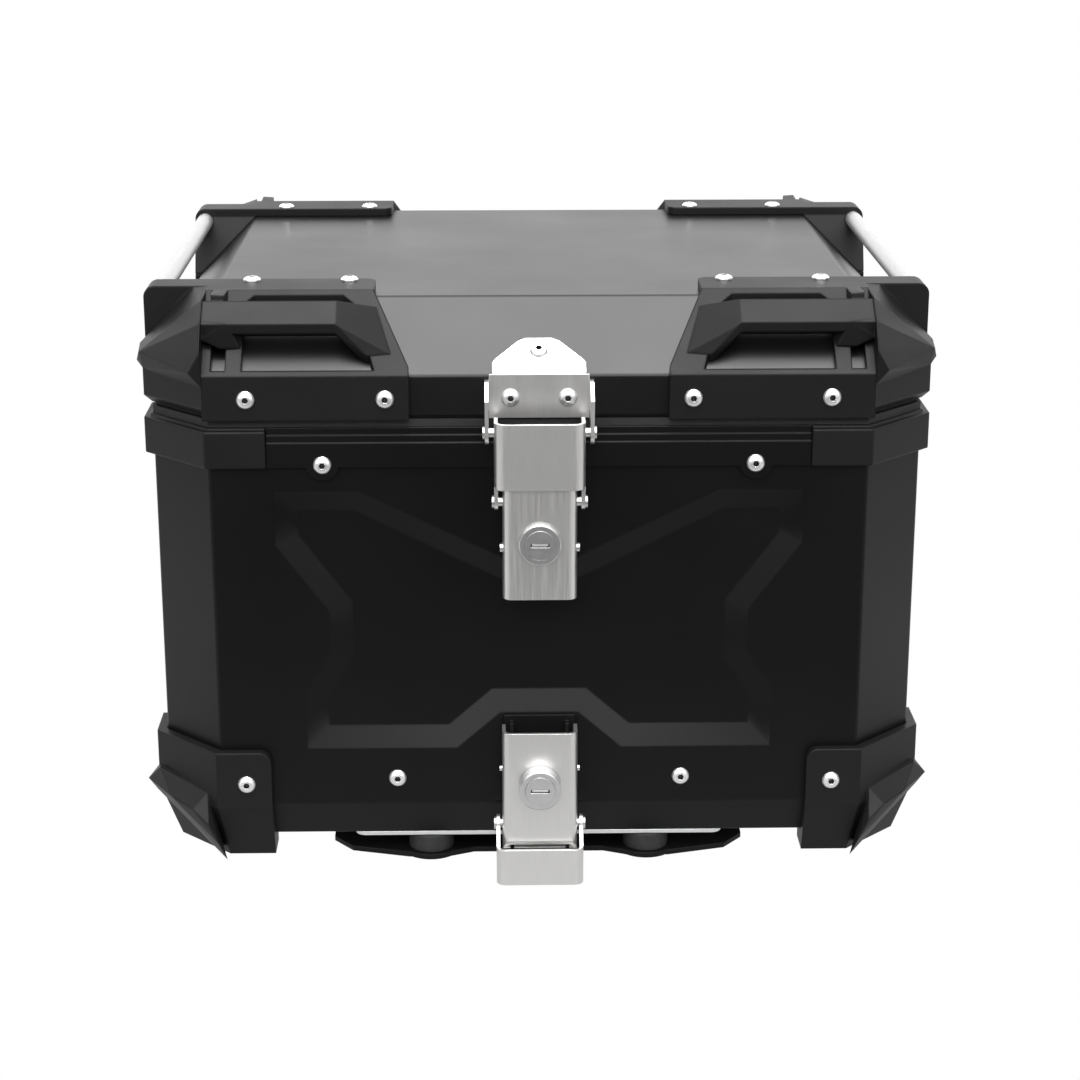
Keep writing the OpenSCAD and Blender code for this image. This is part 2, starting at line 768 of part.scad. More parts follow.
module latch_link() {
    face_low = 226.2;
    top = 261.5;
    ear_r = 4.2;
    color(steel) difference() {
        union() {
            translate([0, 0, face_low]) linear_extrude(top - face_low) channel_2d(link_w, link_face, -185.5, 6);
            mirrored_x() along_x(link_w - steel_t, link_w) {
                polygon([[-198, face_low + 1], [link_pin.x - ear_r, link_pin.y],
                    [link_pin.x + ear_r, link_pin.y], [-186.5, face_low + 1]]);
                translate([link_pin.x, link_pin.y]) circle(ear_r);
            }
        }
        pin_x(keeper_pin, -60, 60, pin_r + run_gap);
        pin_x(link_pin, -60, 60);
    }
}

module link_pins() {
    color(bright) mirrored_x() rivet(link_pin, lever_w - steel_t - 0.5, link_w + run_gap);
}

module latch_lever() {
    top = 226;
    nose_r = 6.4;
    color(steel) difference() {
        union() {
            translate([0, 0, lever_low_z]) linear_extrude(link_pin.y - lever_low_z)
                channel_2d(lever_w, lever_face, -185, 5);
            intersection() {
                translate([0, 0, link_pin.y - 1]) linear_extrude(top - link_pin.y + 1)
                    channel_2d(lever_w, lever_face, -185, 5);
                along_x(-30, 30) {
                    translate([link_pin.x, link_pin.y]) circle(nose_r + 0.6);
                    polygon([[-200, 210], [link_pin.x, 210], [link_pin.x - 3.4, top], [-200, top]]);
                }
            }
        }
        pin_x(link_pin, -60, 60, pin_r + run_gap);
        pin_x(stub_pin, -60, 60);
        translate([0, lever_face + 5, lock_z]) rotate([90, 0, 0]) cylinder(d = lock_d - 4, h = 10);
    }
}

module lever_stub_pins() {
    color(bright) mirrored_x() pin_x(stub_pin, 11.5, lever_w + 1.4);
}

// Lock cylinder with a collar, standing out of the lever's face by out, its axis at height z
module lock_body(face, z, out) {
    rear = cam_y[0] - 0.2;
    front = face - out;
    difference() {
        union() {
            translate([0, rear, z]) rotate([90, 0, 0]) cylinder(d = lock_d - 4.1, h = rear - face + 0.5);
            translate([0, face, z]) rotate([90, 0, 0]) cylinder(d = lock_d, h = out - 0.7);
            translate([0, front + 0.7, z]) rotate([90, 0, 0]) cylinder(d1 = lock_d, d2 = lock_d - 1.4, h = 0.7);
        }
        translate([0, rear + 1, z]) rotate([90, 0, 0]) cylinder(d = plug_d + 2 * run_gap, h = 60);
    }
}

// Key plug with its slot, and the square tail that carries the cam
module plug(face, z, out) {
    rear = cam_y[0] - 0.2;
    front = face - out - 0.3;
    difference() {
        union() {
            translate([0, rear, z]) rotate([90, 0, 0]) cylinder(d = plug_d, h = rear - front);
            translate([-2.5, rear - 0.1, z - 2.5]) cube([5, cam_y[1] + 1 - rear + 0.1, 5]);
        }
        translate([-5, front - 1, z - 1]) cube([10, 6, 2]);
    }
}

// Cam that swings behind the bracket's flange; it points along the latch when unlocked
module cam(z, up) {
    reach = 13.5;
    half = 3;
    difference() {
        translate([0, cam_y[1], z]) rotate([90, 0, 0]) linear_extrude(cam_y[1] - cam_y[0]) {
            circle(5);
            translate([-half, up > 0 ? 0 : -reach]) square([2 * half, reach]);
        }
        translate([-2.5, cam_y[0] - 5, z - 2.5]) cube([5, 20, 5]);
    }
}

module lock_housing() { color(bright) lock_body(lever_face, lock_z, 2.6); }
module key_plug() { color(bright) plug(lever_face, lock_z, 2.6); }
module lock_cam() { color(steel) cam(lock_z, -1); }

// Bracket on the front wall: back plate, side walls, ledge under the stub pins,
// a flange that the turned cam is caught behind, and a shelf on the far side of its swing
module cam_catch(z, wall_low, shelf_z) {
    seat = hd + gap;
    wall_in = 14;
    wall_out = 16;
    flange_in = 9.8;
    flange_y = -190;
    mirrored_x() {
        translate([wall_in, flange_y, wall_low]) cube([wall_out - wall_in, -seat - flange_y, z + 7 - wall_low]);
        translate([flange_in, flange_y, z - 6]) cube([wall_out - flange_in, 1.4, 13]);
        translate([flange_in, flange_y, z + shelf_z]) cube([wall_out - flange_in, -seat - flange_y, 2.4]);
    }
}

module catch_bracket() {
    seat = hd + gap;
    plate_w = 17;
    ledge_top = stub_pin.y - pin_r - 0.2;
    color(coat) difference() {
        union() {
            translate([-plate_w, -seat - steel_t, 172]) cube([2 * plate_w, steel_t, 42]);
            cam_catch(lock_z, 184, 4.6);
            mirrored_x() {
                translate([12, -197, ledge_top - 4]) cube([4, 7, 4]);
                translate([14, -197, 184]) cube([2, 12, ledge_top - 184]);
            }
        }
        for (z = catch_screw_z) front_bore(0, z);
    }
}

/* ---- lower latch ---- */

module lower_bracket() {
    seat = hd + gap;
    plate_w = 19;
    color(coat) difference() {
        union() {
            translate([-plate_w, -seat - steel_t, 43]) cube([2 * plate_w, steel_t, 50.5]);
            cam_catch(low_lock_z, 50, -7);
            mirrored_x() along_x(14, 16) {
                polygon([[-seat, 90], [-seat, 44], [low_pivot.x + 4, low_pivot.y - 3],
                    [low_pivot.x - 5, low_pivot.y], [low_pivot.x - 3, 44], [-190, 54], [-184, 90]]);
                translate([low_pivot.x, low_pivot.y]) circle(5);
            }
            // rest for the closed lever
            translate([-4, -196.6, 77]) cube([8, 196.6 - seat, 2]);
            translate([-4, -196.6, 77]) cube([8, 1.8, 12]);
        }
        pin_x(low_pivot, -60, 60);
        for (z = low_screw_z) front_bore(0, z);
    }
}

module bracket_screws() {
    color(bright) for (z = concat(catch_screw_z, low_screw_z))
        front_screw(0, hd + gap + steel_t, z, steel_t + sheet_t);
}

module lower_pivot_pin() {
    color(bright) pin_x(low_pivot, -low_lever_w, low_lever_w);
}

module lower_lever() {
    low = 28.5;
    color(steel) difference() {
        union() {
            translate([0, 0, low]) linear_extrude(low_lever_top_z - low)
                channel_2d(low_lever_w, low_lever_face, -185, 5);
            // rolled-in lower end and the ears for the pivot
            intersection() {
                translate([0, 0, 15]) linear_extrude(14) channel_2d(low_lever_w, low_lever_face, -185, 5);
                along_x(-30, 30) {
                    translate([low_pivot.x, low_pivot.y]) circle(5.2);
                    polygon([[low_pivot.x - 5.2, low_pivot.y], [low_pivot.x + 5.2, low_pivot.y],
                        [-185, 30], [-200, 30], [-200, 27.5]]);
                }
            }
        }
        pin_x(low_pivot, -60, 60, pin_r + run_gap);
        pin_x(bail_pin, -60, 60);
        pin_x(low_stub, -60, 60, 1.6);
        translate([0, low_lever_face + 5, low_lock_z]) rotate([90, 0, 0]) cylinder(d = lock_d - 4, h = 10);
    }
}

module lower_stub_pins() {
    color(bright) mirrored_x() pin_x(low_stub, low_lever_w - steel_t - 0.8, low_lever_w + 1.4, 1.6);
}

module lower_lock_housing() { color(bright) lock_body(low_lever_face, low_lock_z, low_lock_out); }
module lower_key_plug() { color(bright) plug(low_lever_face, low_lock_z, low_lock_out); }
module lower_lock_cam() { color(steel) cam(low_lock_z, 1); }

module bail_pins() {
    color(bright) mirrored_x() rivet(bail_pin, low_lever_w - steel_t - 0.5, bail_w + run_gap);
}

// U-shaped bail: two arms, a band across the front and a lip that hooks under the rack plate
module bail() {
    band_top = 24.8;
    arm_r = 4.6;
    lip_in = -173;
    color(steel) difference() {
        union() {
            translate([0, 0, bail_z]) linear_extrude(band_top - bail_z) channel_2d(bail_w, bail_face, -188, 5);
            mirrored_x() along_x(bail_w - steel_t, bail_w) {
                translate([bail_pin.x, bail_pin.y]) circle(arm_r);
                polygon([[bail_pin.x - arm_r, bail_pin.y], [bail_pin.x + arm_r, bail_pin.y],
                    [-186, band_top - 2], [-188, 14], [-200, 14], [-201, band_top]]);
            }
            translate([0, 0, bail_z]) linear_extrude(steel_t) {
                channel_outline(bail_w, bail_face, -190, 5);
                translate([-bail_w + 4, -191]) square([2 * bail_w - 8, 191 + lip_in]);
            }
        }
        pin_x(bail_pin, -60, 60, pin_r + run_gap);
    }
}

/* ---- rack plate ---- */
pan_x = 88;
pan_y = 118;
buffer_x = 60;
buffer_y = 157;
nose_w = 18;

// Plan of the rack plate: a waisted plate with four round lobes
module rack_outline(o = 0) {
    edge = inset([[104, -160], [115, -146], [115, 146], [104, 160], [72, 169], [50, 169], [36, 163],
        [-36, 163], [-50, 169], [-72, 169], [-104, 160], [-115, 146], [-115, -146], [-104, -160],
        [-72, -169], [-50, -169], [-36, -163], [36, -163], [50, -169], [72, -169]], -o);
    polygon(edge);
    for (x = [-buffer_x, buffer_x], y = [-buffer_y, buffer_y]) translate([x, y]) circle(16 + o);
}

module bolt_slot(length, turned) {
    r = slot_w / 2;
    rotate([0, 0, turned ? 90 : 0]) {
        square([length - slot_w, slot_w], center = true);
        for (x = [-1, 1]) translate([x * (length / 2 - r), 0]) circle(r);
    }
}

module rack_plate() {
    top = flange_z + rack_t;
    lip_z = tongue_z + foot_plate_t + 0.4;
    hook_y = tongue_end + 2;
    color([0.03, 0.03, 0.03]) difference() {
        union() {
            translate([0, 0, flange_z]) linear_extrude(rack_t) difference() {
                rack_outline();
                square([2 * (pan_x - rack_t), 2 * (pan_y - rack_t)], center = true);
            }
            // sunk pan that carries the bolt slots
            linear_extrude(rack_t) square([2 * pan_x, 2 * pan_y], center = true);
            linear_extrude(top) difference() {
                square([2 * pan_x, 2 * pan_y], center = true);
                square([2 * (pan_x - rack_t), 2 * (pan_y - rack_t)], center = true);
            }
            // raised nose that the bail hooks under
            translate([-nose_w, -181, 6.8]) cube([2 * nose_w, 40, rack_t]);
            // rear hooks over the foot plate's tongues
            mirrored_x() translate([tongue_x - tongue_w / 2, 0, 0]) {
                translate([0, hook_y, flange_z + 0.5]) cube([tongue_w, 3.5, 17 - flange_z - 0.5]);
                translate([0, 146, lip_z]) cube([tongue_w, hook_y - 146 + 1, 17 - lip_z]);
            }
        }
        for (x = [-slot_dx / 2, slot_dx / 2], y = [-slot_dy / 2, slot_dy / 2])
            translate([x, y, -1]) linear_extrude(10) bolt_slot(slot_len, false);
        for (y = [-slot_mid_dy / 2, slot_mid_dy / 2])
            translate([0, y, -1]) linear_extrude(10) bolt_slot(slot_len, true);
    }
}

module rack_buffers() {
    top = body_z - foot_plate_t - gap;
    low = flange_z + rack_t + 0.02;
    color(rubber) mirrored_x() mirrored_y() translate([buffer_x, buffer_y, low]) {
        cylinder(d = buffer_d, h = top - low - 1);
        translate([0, 0, top - low - 1]) cylinder(d1 = buffer_d, d2 = buffer_d - 2, h = 1);
    }
}

rack_plate();
rack_buffers();
floor_pan();
wall_front();
wall_rear();
wall_left();
wall_right();
floor_mat();
foot_plate();
foot_plate_screws();
rail_front();
rail_rear();
rail_left();
rail_right();
rim_corner_front_left();
rim_corner_front_right();
rim_corner_rear_left();
rim_corner_rear_right();
rim_seal();
rail_screws();
body_screws();
foot_guard_front_left();
foot_guard_front_right();
foot_guard_rear_left();
foot_guard_rear_right();
foot_guard_screws();
hinge_body_leaves();
hinge_lid_leaves();
hinge_pins();
lid_shell();
lid_frame();
lid_guard_front_left();
lid_guard_front_right();
lid_guard_rear_left();
lid_guard_rear_right();
lid_guard_screws();
roof_screws();
rod_left();
rod_right();
keeper_plate();
keeper_screws();
keeper_pins();
latch_link();
link_pins();
latch_lever();
lever_stub_pins();
lock_housing();
key_plug();
lock_cam();
catch_bracket();
lower_bracket();
bracket_screws();
lower_pivot_pin();
lower_lever();
lower_stub_pins();
lower_lock_housing();
bail_pins();
lower_key_plug();
lower_lock_cam();
bail();
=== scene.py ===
"""Looks of a motorcycle top case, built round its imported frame.

Everything is in metres, in the frame's own axes: +Z up, the latches face -Y, the rack plate lies on z = 0.
"""
import json
import math

import bmesh
import bpy
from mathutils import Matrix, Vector


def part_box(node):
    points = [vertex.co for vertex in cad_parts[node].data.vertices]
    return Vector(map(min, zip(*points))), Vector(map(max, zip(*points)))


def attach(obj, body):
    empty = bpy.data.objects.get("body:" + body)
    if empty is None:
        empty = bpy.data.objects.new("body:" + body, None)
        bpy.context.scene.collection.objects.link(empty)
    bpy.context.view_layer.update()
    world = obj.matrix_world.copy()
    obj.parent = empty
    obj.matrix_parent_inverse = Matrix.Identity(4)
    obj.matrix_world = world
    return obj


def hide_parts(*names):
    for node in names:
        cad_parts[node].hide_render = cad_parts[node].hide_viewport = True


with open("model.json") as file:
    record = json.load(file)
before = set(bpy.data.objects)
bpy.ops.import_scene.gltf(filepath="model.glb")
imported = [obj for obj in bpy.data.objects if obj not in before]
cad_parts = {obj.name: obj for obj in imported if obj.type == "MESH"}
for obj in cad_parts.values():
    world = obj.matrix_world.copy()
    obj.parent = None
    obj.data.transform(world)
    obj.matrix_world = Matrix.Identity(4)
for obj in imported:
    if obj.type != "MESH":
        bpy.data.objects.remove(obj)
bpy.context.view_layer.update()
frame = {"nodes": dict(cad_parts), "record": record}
nodes = frame["nodes"]
MM = 0.001
CORNERS = ("front_left", "front_right", "rear_left", "rear_right")

# Strengths of the studio's light, where 1 is white
OVERHEAD = 12.5
BACK = 1.38
FRONT_LOW = 0.2
FRONT_HIGH = 5.8
FLANK = 0.95
FLOOR_NEAR = 0.57
FLOOR_SIDE = 0.55
FLOOR_FAR = 0.22

# Outline of the box and lid, in metres
BOX_X, BOX_Y, CORNER_CUT = 0.2065, 0.1785, 0.033
SHEET = 0.002


# ---------------------------------------------------------------- camera, lights, floor

def make_camera():
    """Camera in front of the latches, a little left of the middle, looking down at the lid."""
    yaw, pitch = math.radians(-1.156), math.radians(17.248)
    data = bpy.data.cameras.new("camera")
    data.lens = 81.67
    data.sensor_width = 36.0
    data.clip_start, data.clip_end = 0.05, 60.0
    camera = bpy.data.objects.new("camera", data)
    camera.location = (-0.0247, -1.4236, 0.579)
    camera.rotation_euler = (math.pi / 2 - pitch, 0.0, yaw)
    bpy.context.scene.collection.objects.link(camera)
    bpy.context.scene.camera = camera


def chain(tree, links):
    """Adds math nodes one after another; each is (operation, inputs), where None stands for the last result."""
    last = None
    for operation, inputs in links:
        node = tree.nodes.new("ShaderNodeMath")
        node.operation = operation
        for socket, value in zip(node.inputs, inputs):
            value = last if value is None else value
            if isinstance(value, (int, float)):
                socket.default_value = value
            else:
                tree.links.new(value, socket)
        last = node.outputs[0]
    return last


def ramp(tree, value, start, end, low, high):
    """Smooth step of value: low below start, high above end."""
    node = tree.nodes.new("ShaderNodeMapRange")
    node.interpolation_type = "SMOOTHSTEP"
    for name, number in (("From Min", start), ("From Max", end), ("To Min", low), ("To Max", high)):
        node.inputs[name].default_value = number
    tree.links.new(value, node.inputs["Value"])
    return node.outputs["Result"]


def white_for_camera(tree, light, surface):
    """The background itself is plain white, and what it lights follows the strength light."""
    lit = tree.nodes.new(surface)
    seen = tree.nodes.new(surface)
    for node in (lit, seen):
        node.inputs["Color"].default_value = (1, 1, 1, 1)
    seen.inputs["Strength"].default_value = 1.0
    path = tree.nodes.new("ShaderNodeLightPath")
    mix = tree.nodes.new("ShaderNodeMixShader")
    tree.links.new(light, lit.inputs["Strength"])
    tree.links.new(path.outputs["Is Camera Ray"], mix.inputs["Fac"])
    tree.links.new(lit.outputs[0], mix.inputs[1])
    tree.links.new(seen.outputs[0], mix.inputs[2])
    return mix.outputs[0]


def make_world():
    """White studio: a soft box overhead, a bright wall behind and a dim room in front.

    Its strength depends on the direction, and was set so that the gloss on the faces comes near the photograph.
    """
    world = bpy.data.worlds.new("studio")
    bpy.context.scene.world = world
    world.use_nodes = True
    tree = world.node_tree
    tree.nodes.clear()
    out = tree.nodes.new("ShaderNodeOutputWorld")
    coords = tree.nodes.new("ShaderNodeTexCoord")
    split = tree.nodes.new("ShaderNodeSeparateXYZ")
    tree.links.new(coords.outputs["Generated"], split.inputs[0])
    x, y, z = split.outputs
    side = chain(tree, [("ABSOLUTE", (x,))])
    overhead = ramp(tree, z, 0.8, 0.93, 0.0, OVERHEAD)
    overhead = chain(tree, [("MULTIPLY", (overhead, ramp(tree, side, 0.15, 0.42, 1.0, 0.06))),
                            ("MULTIPLY", (None, ramp(tree, y, 0.0, 0.35, 1.0, 0.3)))])
    back = ramp(tree, y, 0.1, 0.7, 0.0, BACK)
    front = ramp(tree, y, -0.75, -0.3, 1.0, 0.0)
    front = chain(tree, [("MULTIPLY", (front, ramp(tree, z, 0.2, 0.45, FRONT_LOW, FRONT_HIGH)))])
    flank = chain(tree, [("MULTIPLY", (ramp(tree, side, 0.3, 0.6, 0.0, FLANK),
                                       ramp(tree, side, 0.75, 0.95, 1.0, 0.35)))])
    total = chain(tree, [("ADD", (overhead, back)), ("ADD", (None, front)), ("ADD", (None, flank))])
    tree.links.new(white_for_camera(tree, total, "ShaderNodeBackground"), out.inputs["Surface"])


def make_floor():
    """White floor, brightest round the case and dim towards the camera."""
    mesh = bpy.data.meshes.new("floor")
    half = 8.0
    mesh.from_pydata([(-half, -half, 0), (half, -half, 0), (half, half, 0), (-half, half, 0)], [], [(0, 1, 2, 3)])
    floor = bpy.data.objects.new("floor", mesh)
    bpy.context.scene.collection.objects.link(floor)
    mat = bpy.data.materials.new("floor_white")
    mat.use_nodes = True
    tree = mat.node_tree
    tree.nodes.clear()
    out = tree.nodes.new("ShaderNodeOutputMaterial")
    coords = tree.nodes.new("ShaderNodeTexCoord")
    split = tree.nodes.new("ShaderNodeSeparateXYZ")
    tree.links.new(coords.outputs["Object"], split.inputs[0])
    x, y = split.outputs[0], split.outputs[1]
    near = ramp(tree, y, -0.57, -0.34, 0.0, FLOOR_NEAR)
    side = chain(tree, [("ABSOLUTE", (x,))])
    flank = chain(tree, [("MULTIPLY", (ramp(tree, side, 0.3, 0.5, 0.0, FLOOR_SIDE),
                                       ramp(tree, side, 0.45, 1.1, 1.0, 0.25)))])
    total = chain(tree, [("ADD", (near, flank)), ("ADD", (None, FLOOR_FAR))])
    tree.links.new(white_for_camera(tree, total, "ShaderNodeEmission"), out.inputs["Surface"])
    mesh.materials.append(mat)


def make_studio():
    scene = bpy.context.scene
    scene.view_settings.view_transform = "Standard"
    scene.view_settings.look = "None"
    make_camera()
    make_world()
    make_floor()


# ---------------------------------------------------------------- materials

def new_material(name):
    mat = bpy.data.materials.new(name)
    mat.use_nodes = True
    tree = mat.node_tree
    return mat, tree, tree.nodes["Principled BSDF"]


def noise(tree, scale, detail=3.0, stretch=(1, 1, 1)):
    """Noise over the object's own coordinates; scale is in features per metre."""
    coords = tree.nodes.new("ShaderNodeTexCoord")
    mapping = tree.nodes.new("ShaderNodeMapping")
    mapping.inputs["Scale"].default_value = stretch
    texture = tree.nodes.new("ShaderNodeTexNoise")
    texture.inputs["Scale"].default_value = scale
    texture.inputs["Detail"].default_value = detail
    tree.links.new(coords.outputs["Object"], mapping.inputs["Vector"])
    tree.links.new(mapping.outputs["Vector"], texture.inputs["Vector"])
    return texture.outputs["Fac"]


def spread(tree, value, low, high):
    """Maps the middle of a noise to the range from low to high."""
    stretch = tree.nodes.new("ShaderNodeMapRange")
    for name, number in (("From Min", 0.3), ("From Max", 0.7), ("To Min", low), ("To Max", high)):
        stretch.inputs[name].default_value = number
    tree.links.new(value, stretch.inputs["Value"])
    return stretch.outputs["Result"]


def bump(tree, shader, heights, edge=0.0):
    """Chains bumps; each height is (noise, depth in metres). An edge radius in metres softens sharp edges."""
    last = None
    if edge:
        worn = tree.nodes.new("ShaderNodeBevel")
        worn.samples = 6
        worn.inputs["Radius"].default_value = edge
        last = worn.outputs["Normal"]
    for value, depth in heights:
        node = tree.nodes.new("ShaderNodeBump")
        node.inputs["Strength"].default_value = 1.0
        node.inputs["Distance"].default_value = depth
        tree.links.new(value, node.inputs["Height"])
        if last:
            tree.links.new(last, node.inputs["Normal"])
        last = node.outputs["Normal"]
    tree.links.new(last, shader.inputs["Normal"])


def tint(tree, shader, value, dark, light):
    """Base colour that follows a noise between two greys or colours."""
    mix = tree.nodes.new("ShaderNodeMix")
    mix.data_type = "RGBA"
    mix.inputs["A"].default_value = (*dark, 1)
    mix.inputs["B"].default_value = (*light, 1)
    tree.links.new(value, mix.inputs["Factor"])
    tree.links.new(mix.outputs["Result"], shader.inputs["Base Color"])
    return mix.outputs["Result"]


def coat(name, grey, rough, specular, grain=1400, depth=0.00003):
    """Black powder coat or paint: fine orange peel and slightly uneven gloss."""
    mat, tree, shader = new_material(name)
    cloud = noise(tree, 30, 4)
    tint(tree, shader, spread(tree, cloud, 0, 1), (grey * 0.9,) * 3, (grey * 1.1, grey * 1.1, grey * 1.13))
    tree.links.new(spread(tree, noise(tree, 12, 5), rough - 0.03, rough + 0.03), shader.inputs["Roughness"])
    shader.inputs["Specular IOR Level"].default_value = specular
    bump(tree, shader, [(noise(tree, grain, 2), depth), (noise(tree, grain * 3, 1), depth / 3)], 0.0008)
    return mat


def plastic(name, grey, rough, specular):
    """Black moulded plastic with a fine spark-eroded grain."""
    mat, tree, shader = new_material(name)
    tint(tree, shader, spread(tree, noise(tree, 900, 3), 0, 1), (grey * 0.85,) * 3, (grey * 1.15,) * 3)
    tree.links.new(spread(tree, noise(tree, 20, 4), rough - 0.04, rough + 0.04), shader.inputs["Roughness"])
    shader.inputs["Specular IOR Level"].default_value = specular
    bump(tree, shader, [(noise(tree, 2600, 3), 0.00005), (noise(tree, 700, 2), 0.00004)], 0.0014)
    return mat


def metal(name, colour, rough, stretch, scale=1.0, depth=0.000012, uneven=0.05, recess=0.0, lone=True):
    """Bare metal with fine lines: stretch is the noise's frequency along X, Y and Z, in lines per metre.

    Corners and sockets narrower than recess, in metres, get painted shade: ambient occlusion darkens their base
    colour towards black;
    lone leaves out the corners a piece makes with its neighbours.
    """
    mat, tree, shader = new_material(name)
    shader.inputs["Metallic"].default_value = 1.0
    lines = noise(tree, scale, 3, stretch)
    darker = tuple(0.93 * c for c in colour)
    colour_mix = tint(tree, shader, spread(tree, lines, 0, 1), darker, colour)
    # Painted shade: the base colour is mixed towards near black where ambient occlusion finds corners, sockets
    # and gaps
    if recess:
        corner = tree.nodes.new("ShaderNodeAmbientOcclusion")
        corner.inputs["Distance"].default_value = recess
        corner.only_local = lone
        painted_shade = tree.nodes.new("ShaderNodeMix")
        painted_shade.data_type = "RGBA"
        painted_shade.inputs["A"].default_value = (0.03, 0.03, 0.03, 1)
        tree.links.new(ramp(tree, corner.outputs["AO"], 0.35, 0.8, 0.0, 1.0), painted_shade.inputs["Factor"])
        tree.links.new(colour_mix, painted_shade.inputs["B"])
        tree.links.new(painted_shade.outputs["Result"], shader.inputs["Base Color"])
    tree.links.new(spread(tree, lines, rough - uneven, rough + uneven), shader.inputs["Roughness"])
    bump(tree, shader, [(lines, depth), (noise(tree, 120, 2), depth)], 0.0004)
    return mat


def rubber(name, grey, rough):
    mat, tree, shader = new_material(name)
    tint(tree, shader, spread(tree, noise(tree, 300, 4), 0, 1), (grey * 0.8,) * 3, (grey * 1.2,) * 3)
    tree.links.new(spread(tree, noise(tree, 60, 4), rough - 0.05, rough + 0.05), shader.inputs["Roughness"])
    shader.inputs["Specular IOR Level"].default_value = 0.3
    bump(tree, shader, [(noise(tree, 1500, 3), 0.00008)])
    return mat


def make_materials():
    return {
        "case_powder_coat": coat("case_powder_coat", 0.0013, 0.38, 0.17),
        "lid_paint": coat("lid_paint", 0.002, 0.33, 0.33, 1800, 0.00002),
        "bracket_coat": coat("bracket_coat", 0.002, 0.45, 0.18),
        "rack_coat": coat("rack_coat", 0.002, 0.5, 0.15),
        "moulded_plastic": plastic("moulded_plastic", 0.0045, 0.46, 0.17),
        "stainless_sheet": metal("stainless_sheet", (0.68, 0.675, 0.665), 0.37, (2500, 2500, 60),
                                 depth=0.000006),
        "pin_steel": metal("pin_steel", (0.6, 0.6, 0.59), 0.3, (60, 1500, 1500)),
        # The screws get painted shade in their sockets, and the locks get it in the gaps round their plugs
        "screw_steel": metal("screw_steel", (0.8, 0.8, 0.8), 0.38, (700, 700, 700), recess=0.0032),
        "lock_metal": metal("lock_metal", (0.6, 0.6, 0.6), 0.32, (300, 60, 300), depth=0.000003,
                            uneven=0.03, recess=0.0022, lone=False),
        "rod_aluminium": metal("rod_aluminium", (0.5, 0.5, 0.505), 0.5, (2000, 60, 2000), depth=0.000006),
        "zinc_plate": metal("zinc_plate", (0.72, 0.73, 0.74), 0.33, (400, 400, 400)),
        "buffer_rubber": rubber("buffer_rubber", 0.015, 0.7),
        "seal_rubber": rubber("seal_rubber", 0.012, 0.65),
        "mat_foam": rubber("mat_foam", 0.03, 0.9),
    }


# ---------------------------------------------------------------- CAD nodes

def soften(node, width):
    """Rounds the edges of a CAD node with modifiers; width is the radius in metres.

    The bevel stays clamped: without that it throws faces far outside the thin steel pieces.
    """
    piece = nodes[node]
    weld = piece.modifiers.new("weld", "WELD")
    weld.merge_threshold = 0.00001
    flat = piece.modifiers.new("flat", "DECIMATE")
    flat.decimate_type = "DISSOLVE"
    flat.angle_limit = math.radians(0.6)
    bevel = piece.modifiers.new("bevel", "BEVEL")
    bevel.width = width
    bevel.segments = 2
    bevel.limit_method = "ANGLE"
    bevel.angle_limit = math.radians(14)
    smooth = piece.modifiers.new("smooth", "WEIGHTED_NORMAL")
    smooth.keep_sharp = False


def dress_nodes(materials):
    """Gives every CAD node the material of its slot."""
    slots = {part["node"]: part["material_slot"] for part in frame["record"]["subparts"]}
    for name, piece in nodes.items():
        piece.data.materials.clear()
        piece.data.materials.append(materials[slots[name]])


# Radius of the rounded edges of some nodes, in millimetres
EDGE = {
    "rail_front": 0.7, "rail_rear": 0.7, "rail_left": 0.7, "rail_right": 0.7,
    "keeper_plate": 0.35, "latch_link": 0.35, "latch_lever": 0.35, "lower_lever": 0.35, "bail": 0.35,
    "catch_bracket": 0.35, "lower_bracket": 0.35, "rack_plate": 0.4, "foot_plate": 0.35,
}
EDGE.update({"rim_corner_" + c: 0.7 for c in CORNERS})


# ---------------------------------------------------------------- sheet metal of box and lid

def plan(grow):
    """Corners of the box's plan, grown by a distance, anticlockwise from the right rear."""
    a, b = BOX_X + grow, BOX_Y + grow
    s = BOX_X + BOX_Y - CORNER_CUT + grow * math.sqrt(2)
    return [Vector(p) for p in ((a, s - a), (s - b, b), (b - s, b), (-a, s - a),
                                (-a, a - s), (b - s, -b), (s - b, -b), (a, a - s))]


def rounded(points, radius, steps):
    """Closed outline with an arc of the given radius at every corner; each corner gives steps + 1 points."""
    result = []
    count = len(points)
    for i, corner in enumerate(points):
        u = (corner - points[i - 1]).normalized()
        v = (points[(i + 1) % count] - corner).normalized()
        turn = u.angle(v)
        out = Vector((u.y, -u.x))
        centre = corner - u * radius * math.tan(turn / 2) - out * radius
        for k in range(steps + 1):
            a = turn * k / steps
            result.append(centre + radius * Vector((out.x * math.cos(a) - out.y * math.sin(a),
                                                    out.x * math.sin(a) + out.y * math.cos(a))))
    return result


def inset(points, distance):
    """Closed anticlockwise outline moved inwards, with sharp corners."""
    result = []
    count = len(points)
    for i, corner in enumerate(points):
        u = (corner - points[i - 1]).normalized()
        v = (points[(i + 1) % count] - corner).normalized()
        nu, nv = Vector((-u.y, u.x)), Vector((-v.y, v.x))
        result.append(corner + distance * (nu + nv) / (1 + nu.dot(nv)))
    return result


def arc_profile(before, corner, after, radius, steps=4):
    """Points (height, offset) round a fold between two straight runs of a wall's section."""
    u = (Vector(corner) - Vector(before)).normalized()
    v = (Vector(after) - Vector(corner)).normalized()
    reach = radius * math.tan(u.angle(v) / 2)
    start, mid, end = Vector(corner) - u * reach, Vector(corner), Vector(corner) + v * reach
    return [start * (1 - t) ** 2 + mid * 2 * t * (1 - t) + end * t ** 2
            for t in (k / steps for k in range(steps + 1))]


